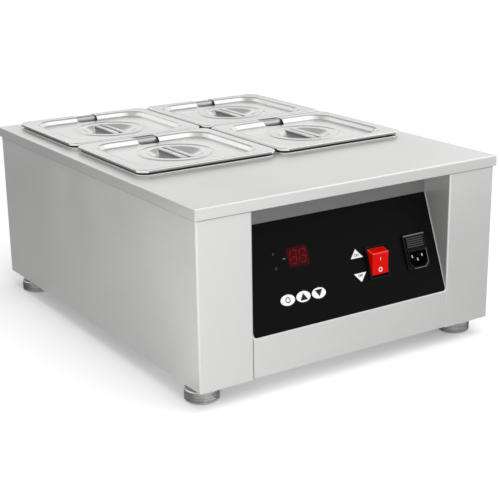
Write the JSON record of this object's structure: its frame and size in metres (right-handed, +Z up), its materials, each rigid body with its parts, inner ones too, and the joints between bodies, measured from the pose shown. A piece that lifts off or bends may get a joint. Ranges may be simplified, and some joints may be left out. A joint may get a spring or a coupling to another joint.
{
  "type": "chocolate melting tank",
  "caption": "Countertop chocolate melter: steel box on round feet, lift-out pans with notched lids in its top, leaning front panel with display, keys, rocker switch and mains inlet.",
  "frame": {"origin": "on the table, under the middle of the top plate", "axes": "+X to the right seen from the front, +Y from the control panel to the back, +Z up"},
  "size_m": [0.39, 0.49, 0.2189],
  "materials": {
    "casing_steel": "brushed sheet, satin",
    "pan_steel": "pressed sheet, fine satin",
    "foot_steel": "turned, satin",
    "screw_steel": "plated",
    "inner_steel": "plain sheet",
    "film_black": "printed film, semi-gloss",
    "window_red": "clear tinted plastic",
    "key_white": "embossed film, semi-gloss",
    "lamp_clear": "unlit lens",
    "housing_black": "moulded",
    "rocker_red": "moulded, glossy",
    "contact_metal": "plated",
    "board_green": "lacquered board",
    "heater_silicone": "silicone mat",
    "wool": "mineral wool",
    "inner_plastic": "moulded",
    "fuse_glass": "clear tube"
  },
  "bodies": {
    "chassis": {"top_plate": "casing_steel", "left_side_panel": "casing_steel", "right_side_panel": "casing_steel", "back_panel": "casing_steel", "console_panel": "casing_steel", "base_plate": "casing_steel", "base_screws": "screw_steel", "back_screws": "screw_steel", "foot_back_left": "foot_steel", "foot_back_right": "foot_steel", "foot_front_left": "foot_steel", "foot_front_right": "foot_steel", "foot_nuts": "screw_steel", "well_liner": "inner_steel", "heater_mat": "heater_silicone", "insulation": "wool", "support_rails": "inner_steel", "temperature_probe": "contact_metal", "thermal_cutout": "inner_plastic", "front_film": "film_black", "display_window": "window_red", "display_module": "housing_black", "indicator_lamps": "lamp_clear", "key_switches": "housing_black", "control_board": "board_green", "board_spacers": "contact_metal", "rocker_housing": "housing_black", "rocker_terminals": "contact_metal", "inlet_housing": "housing_black", "inlet_pins": "contact_metal", "power_relay": "inner_plastic", "terminal_block": "inner_plastic", "earth_stud": "contact_metal"},
    "pan_back_left": {"pan_back_left": "pan_steel"},
    "lid_back_left": {"lid_back_left": "pan_steel", "handle_bar_back_left": "pan_steel"},
    "pan_back_right": {"pan_back_right": "pan_steel"},
    "lid_back_right": {"lid_back_right": "pan_steel", "handle_bar_back_right": "pan_steel"},
    "pan_front_left": {"pan_front_left": "pan_steel"},
    "lid_front_left": {"lid_front_left": "pan_steel", "handle_bar_front_left": "pan_steel"},
    "pan_front_right": {"pan_front_right": "pan_steel"},
    "lid_front_right": {"lid_front_right": "pan_steel", "handle_bar_front_right": "pan_steel"},
    "key_set": {"key_set": "key_white"},
    "key_up": {"key_up": "key_white"},
    "key_down": {"key_down": "key_white"},
    "rocker": {"rocker": "rocker_red"},
    "fuse_drawer": {"fuse_drawer": "housing_black", "fuse": "fuse_glass"}
  },
  "joints": [
    {"name": "pan_lift_back_left", "type": "slide", "parent": "chassis", "child": "pan_back_left", "axis": [0, 0, 1], "range_m": [0, 0.115]},
    {"name": "lid_lift_back_left", "type": "slide", "parent": "pan_back_left", "child": "lid_back_left", "axis": [0, 0, 1], "range_m": [0, 0.09]},
    {"name": "pan_lift_back_right", "type": "slide", "parent": "chassis", "child": "pan_back_right", "axis": [0, 0, 1], "range_m": [0, 0.115]},
    {"name": "lid_lift_back_right", "type": "slide", "parent": "pan_back_right", "child": "lid_back_right", "axis": [0, 0, 1], "range_m": [0, 0.09]},
    {"name": "pan_lift_front_left", "type": "slide", "parent": "chassis", "child": "pan_front_left", "axis": [0, 0, 1], "range_m": [0, 0.115]},
    {"name": "lid_lift_front_left", "type": "slide", "parent": "pan_front_left", "child": "lid_front_left", "axis": [0, 0, 1], "range_m": [0, 0.09]},
    {"name": "pan_lift_front_right", "type": "slide", "parent": "chassis", "child": "pan_front_right", "axis": [0, 0, 1], "range_m": [0, 0.115]},
    {"name": "lid_lift_front_right", "type": "slide", "parent": "pan_front_right", "child": "lid_front_right", "axis": [0, 0, 1], "range_m": [0, 0.09]},
    {"name": "key_press_set", "type": "slide", "parent": "chassis", "child": "key_set", "axis": [0, 0.9336, -0.3584], "range_m": [0, 0.00045], "stiffness_N_per_m": 4000},
    {"name": "key_press_up", "type": "slide", "parent": "chassis", "child": "key_up", "axis": [0, 0.9336, -0.3584], "range_m": [0, 0.00045], "stiffness_N_per_m": 4000},
    {"name": "key_press_down", "type": "slide", "parent": "chassis", "child": "key_down", "axis": [0, 0.9336, -0.3584], "range_m": [0, 0.00045], "stiffness_N_per_m": 4000},
    {"name": "rocker_tilt", "type": "hinge", "parent": "chassis", "child": "rocker", "pos_m": [0.0425, -0.22555, 0.11086], "axis": [-1, 0, 0], "range_deg": [0, 40]},
    {"name": "fuse_drawer_pull", "type": "slide", "parent": "chassis", "child": "fuse_drawer", "axis": [0, -0.9336, 0.3584], "range_m": [0, 0.024]}
  ]
}
